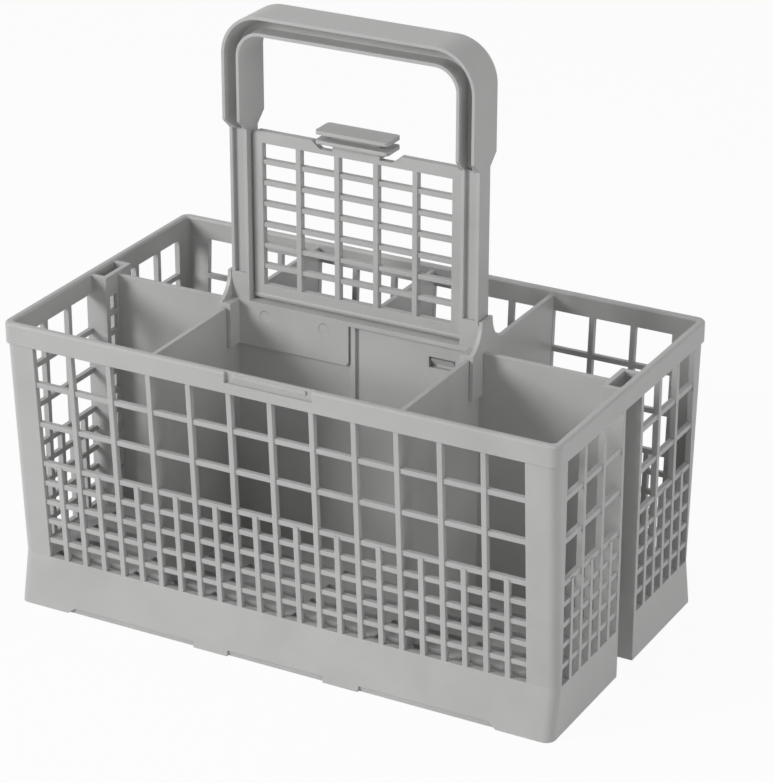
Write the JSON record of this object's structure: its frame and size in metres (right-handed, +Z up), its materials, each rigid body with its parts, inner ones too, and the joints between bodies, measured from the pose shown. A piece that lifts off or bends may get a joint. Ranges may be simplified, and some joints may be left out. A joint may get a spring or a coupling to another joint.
{
  "type": "dishwasher cutlery basket",
  "caption": "Rectangular lattice-walled cutlery basket with compartments, a flared foot, end channels, a clip-on arched handle and a grid lid hinged in the handle's frame.",
  "frame": {"origin": "centre of the basket's foot, on the surface it stands on", "axes": "+X along the length, -Y out of the front, +Z up"},
  "size_m": [0.24, 0.135, 0.242],
  "materials": {
    "grey_plastic": "satin-matte injection-moulded plastic, light neutral grey"
  },
  "bodies": {
    "basket": {"basket": "grey_plastic", "handle": "grey_plastic"},
    "lid": {"lid": "grey_plastic"}
  },
  "joints": [
    {"name": "lid_hinge", "type": "hinge", "parent": "basket", "child": "lid", "pos_m": [0, 0.0022, 0.1248], "axis": [1, 0, 0], "range_deg": [0, 90]}
  ]
}
